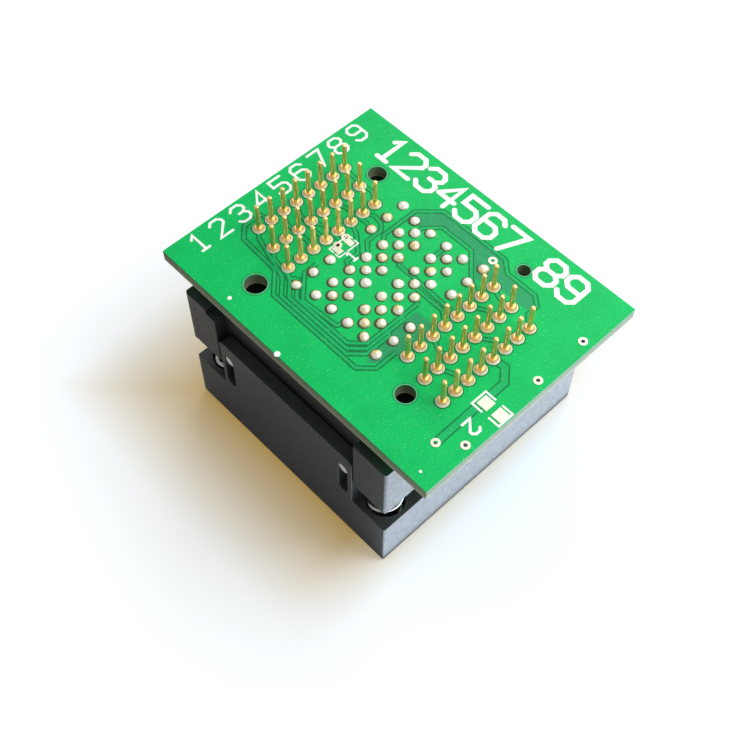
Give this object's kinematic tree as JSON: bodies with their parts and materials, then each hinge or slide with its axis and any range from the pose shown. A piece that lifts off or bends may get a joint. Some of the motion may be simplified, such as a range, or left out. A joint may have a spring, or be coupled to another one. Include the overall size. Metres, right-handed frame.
{
  "type": "open-top test socket on a pin adapter board",
  "caption": "Test socket with a spring-loaded push cover and two swinging latches, soldered to an adapter board with two groups of round header pins; stands upside down on its cover.",
  "frame": {"origin": "on the socket axis (centre of the contact field), in the plane of the cover's flat face on which the part stands", "axes": "+Z from the cover's face towards the header pins, +X along the long side of the adapter board, +Y along its short side"},
  "size_m": [0.0328, 0.026, 0.0222],
  "materials": {
    "board_mask": "satin green solder mask on glass-fibre laminate",
    "gold_pin": "gold-plated turned brass",
    "tin_pad": "tinned copper",
    "solder": "bright solder",
    "housing_black": "matt black moulded plastic",
    "cover_black": "matt black moulded plastic",
    "holder_black": "matt black moulded plastic",
    "latch_black": "matt black moulded plastic",
    "contact_gold": "gold-plated contact",
    "steel": "ground stainless steel",
    "spring_steel": "drawn stainless spring wire"
  },
  "bodies": {
    "base": {"adapter_board": "board_mask", "pin_pads": "tin_pad", "pin_solder_joints": "solder", "header_pins_left": "gold_pin", "header_pins_right": "gold_pin", "contact_solder_joints": "solder", "component_pads": "tin_pad", "via_rings": "tin_pad", "lead_guide": "holder_black", "base_housing": "housing_black", "contact_holder": "holder_black", "contact_barrels": "contact_gold", "seat_springs": "spring_steel", "shaft_left": "steel", "shaft_right": "steel", "corner_spring_1": "spring_steel", "corner_spring_2": "spring_steel", "corner_spring_3": "spring_steel", "corner_spring_4": "spring_steel"},
    "cover": {"cover_frame": "cover_black", "drive_pin_left": "steel", "drive_pin_right": "steel"},
    "latch_left": {"latch_left": "latch_black"},
    "latch_right": {"latch_right": "latch_black"},
    "seat": {"ic_seat": "holder_black"},
    "contacts": {"contact_plungers": "contact_gold"}
  },
  "joints": [
    {"name": "cover_slide", "type": "slide", "parent": "base", "child": "cover", "axis": [0, 0, 1], "range_m": [0, 0.0032], "stiffness_N_per_m": 1000, "springref_m": -0.006, "deforming": ["corner_spring_1", "corner_spring_2", "corner_spring_3", "corner_spring_4"]},
    {"name": "latch_left_pivot", "type": "hinge", "parent": "base", "child": "latch_left", "pos_m": [-0.0076, 0, 0.0108], "axis": [0, 1, 0], "range_deg": [0, 47.93]},
    {"name": "latch_right_pivot", "type": "hinge", "parent": "base", "child": "latch_right", "pos_m": [0.0076, 0, 0.0108], "axis": [0, -1, 0], "range_deg": [0, 47.93]},
    {"name": "seat_float", "type": "slide", "parent": "base", "child": "seat", "axis": [0, 0, 1], "range_m": [0, 0.0004], "stiffness_N_per_m": 400, "springref_m": -0.001, "deforming": ["seat_springs"]},
    {"name": "contact_press", "type": "slide", "parent": "base", "child": "contacts", "axis": [0, 0, 1], "range_m": [0, 0.0004]}
  ],
  "couplings": [
    {"joint": "latch_left_pivot", "follows": "cover_slide", "rad_per_m": 261.39},
    {"joint": "latch_right_pivot", "follows": "cover_slide", "rad_per_m": 261.39},
    {"joint": "contact_press", "follows": "seat_float", "ratio": 1}
  ]
}
